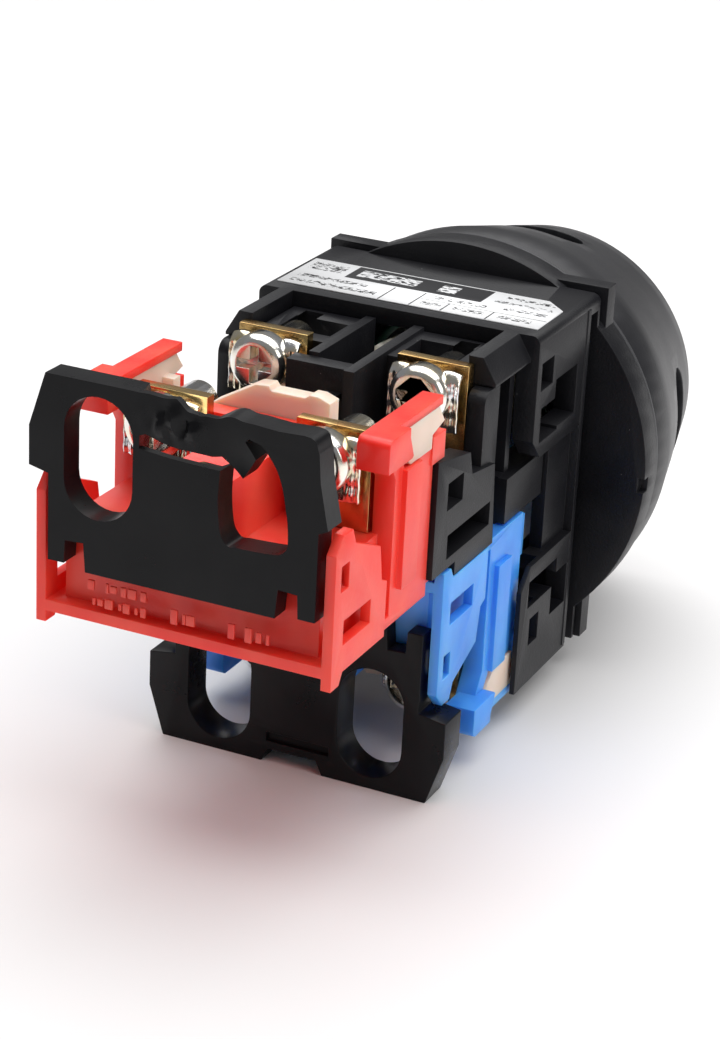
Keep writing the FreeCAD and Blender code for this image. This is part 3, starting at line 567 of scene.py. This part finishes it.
cuts = [((0, 0, height), (0, 0, 1)) for height in (CHAMBER_TOP - 0.05, CHAMBER_TOP)]
cuts += [((0, 0, 15.5 + 0.4 * index), (0, 0, 1)) for index in range(14)]
cuts += [((-7.0 + 0.45 * index, 0, 0), (1, 0, 0)) for index in range(28)]
for point, normal in cuts:
    everything = plate.verts[:] + plate.edges[:] + plate.faces[:]
    bmesh.ops.bisect_plane(plate, geom=everything, plane_co=point, plane_no=normal)
for vert in plate.verts:
    x, y, z = vert.co
    if z < CHAMBER_TOP - 0.02 and y < middle:
        vert.co.y = PLATE_FRONT
    if WEB_RIGHT < x < WEB_LEFT and z > WEB_LOW and y < middle:
        vert.co.y = WEB_FRONT
    bulge = math.exp(-((x - 0.6) / 2.1) ** 2 - ((z - 18.7) / 1.2) ** 2)
    folds = 0.5 + 0.5 * math.sin(2.1 * x + 1.6 * z) + 0.35 * math.sin(4.3 * x - 1.1 * z + 1.0)
    vert.co.y += 0.75 * bulge * folds
    sag = math.exp(-((x + 5.2) / 1.5) ** 2 - ((z - 16.6) / 1.5) ** 2)
    vert.co.y -= 0.45 * sag
    vert.co.z += 0.12 * math.sin(2.6 * x) * math.exp(-((x + 2.0) / 3.5) ** 2) * max(0.0, z - 19.0)
bmesh.ops.scale(plate, verts=plate.verts, vec=(MM, MM, MM))
bmesh.ops.recalc_face_normals(plate, faces=plate.faces)
bent_cover = piece_from(plate, "nc_cover_bent", "cover_black", "base", "nc_terminal_cover")
soften(bent_cover, 0.28)
print("bent cover faces", len(bent_cover.data.polygons))

# %% [markdown]
# ## Raised marks
# Moulded parts carry small raised rating marks. These are rows of low bars of uneven width, which
# catch the light as moulded print does and say nothing. Each bar is a cube from the create_cube
# operator, and all of them are bevelled together. The random widths come from a fixed seed. The
# bars stand in the plane of the block's rear edge, a little behind the chamber's own wall.

# %% Marks at the red block's rear
MARK_DEPTH = 0.1


def raised_marks(name, slot, rear, rows, seed):
    """Rows of low rounded bars that face back; a row is (start x, end x, low z, height)."""
    chance = random.Random(seed)
    made = bmesh.new()
    for start, end, low, height in rows:
        place = start
        while place > end:
            width = chance.choice((0.28, 0.5, 0.62, 0.75))
            bar = bmesh.ops.create_cube(made, size=1)["verts"]
            tall = height * chance.choice((1, 1, 0.7))
            bmesh.ops.scale(made, verts=bar, vec=(width, 2 * MARK_DEPTH, tall))
            bmesh.ops.translate(made, verts=bar, vec=(place, rear, low + height / 2))
            place -= width + chance.choice((0.3, 0.3, 0.35, 0.9))
    bmesh.ops.bevel(made, geom=made.edges[:], affect="EDGES", offset=0.05, segments=2, profile=0.5,
                    material=-1)
    bmesh.ops.scale(made, verts=made.verts, vec=(MM, MM, MM))
    return piece_from(made, name, slot, "base")


marks = raised_marks("nc_housing_marks", "block_red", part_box("nc_housing")[1][1] / MM,
                     [(8.3, 2.6, 2.9, 0.85), (8.0, 3.4, 1.5, 0.85), (0.6, -2.2, 1.6, 1.3),
                      (-4.6, -8.2, 1.6, 1.3)], 7)
print("raised marks faces", len(marks.data.polygons))

# %% [markdown]
# ## Stage
# A pale floor that the part rests on, a pale surround, a wide soft light from above and a smaller
# one from the camera's right. The floor is one large plane at the part's lowest point.

# %% Floor, lights and surround
def rig_light(name, place, target, size, power):
    """Square soft light that looks at a target."""
    data = bpy.data.lights.new(name, "AREA")
    data.energy = power
    data.size = size
    lamp = bpy.data.objects.new(name, data)
    lamp.location = place
    lamp.rotation_euler = (Vector(target) - Vector(place)).to_track_quat("-Z", "Y").to_euler()
    bpy.context.scene.collection.objects.link(lamp)
    return lamp


FLOOR_HALF = 1.5
SURROUND_STRENGTH = 0.2
floor_z = cad_box[0][2]
floor_mesh = bmesh.new()
bmesh.ops.create_grid(floor_mesh, x_segments=1, y_segments=1, size=FLOOR_HALF)
bmesh.ops.translate(floor_mesh, verts=floor_mesh.verts, vec=(0, 0, floor_z))
floor_data = bpy.data.meshes.new("floor")
floor_mesh.to_mesh(floor_data)
floor = bpy.data.objects.new("floor", floor_data)
bpy.context.scene.collection.objects.link(floor)
floor_finish = Finish("pale floor", 0.6)
floor_finish.feed("Base Color", floor_finish.blend(floor_finish.noise(60 * MM), (0.78, 0.77, 0.77, 1),
                                                   (0.84, 0.83, 0.83, 1)))
floor_data.materials.append(floor_finish.material)

centre = (0, 0.02, 0)
rig_light("overhead", (0.02, -0.12, 0.6), centre, 1.0, 8.6)
rig_light("side", (-0.5, 0.1, 0.25), centre, 0.3, 0.9)
world = bpy.data.worlds.new("pale surround")
bpy.context.scene.world = world
world.use_nodes = True
background = world.node_tree.nodes["Background"]
background.inputs["Color"].default_value = (1, 1, 1, 1)
background.inputs["Strength"].default_value = SURROUND_STRENGTH
bpy.context.scene.view_settings.view_transform = "Standard"
print("floor at", round(floor_z / MM, 2), "mm")

# %% [markdown]
# ## Camera
# The camera stands behind the part, to its right and above it, about a quarter of a metre away.

# %% Camera
CAMERA_PLACE = Vector((-0.09444, 0.23253, 0.09297))
CAMERA_RIGHT = Vector((-0.902, -0.4291, 0.0472))
CAMERA_DOWN = Vector((-0.2026, 0.3243, -0.924))
CAMERA_FORWARD = Vector((0.3812, -0.8431, -0.3794))
lens = bpy.data.cameras.new("camera")
lens.sensor_fit = "VERTICAL"
lens.sensor_height = 36
lens.lens = 94.33
lens.clip_start = 0.005
camera = bpy.data.objects.new("camera", lens)
bpy.context.scene.collection.objects.link(camera)
turn = Matrix((CAMERA_RIGHT, -CAMERA_DOWN, -CAMERA_FORWARD)).transposed().to_4x4()
camera.matrix_world = Matrix.Translation(CAMERA_PLACE) @ turn
bpy.context.scene.camera = camera
print("camera at", [round(c, 3) for c in CAMERA_PLACE])
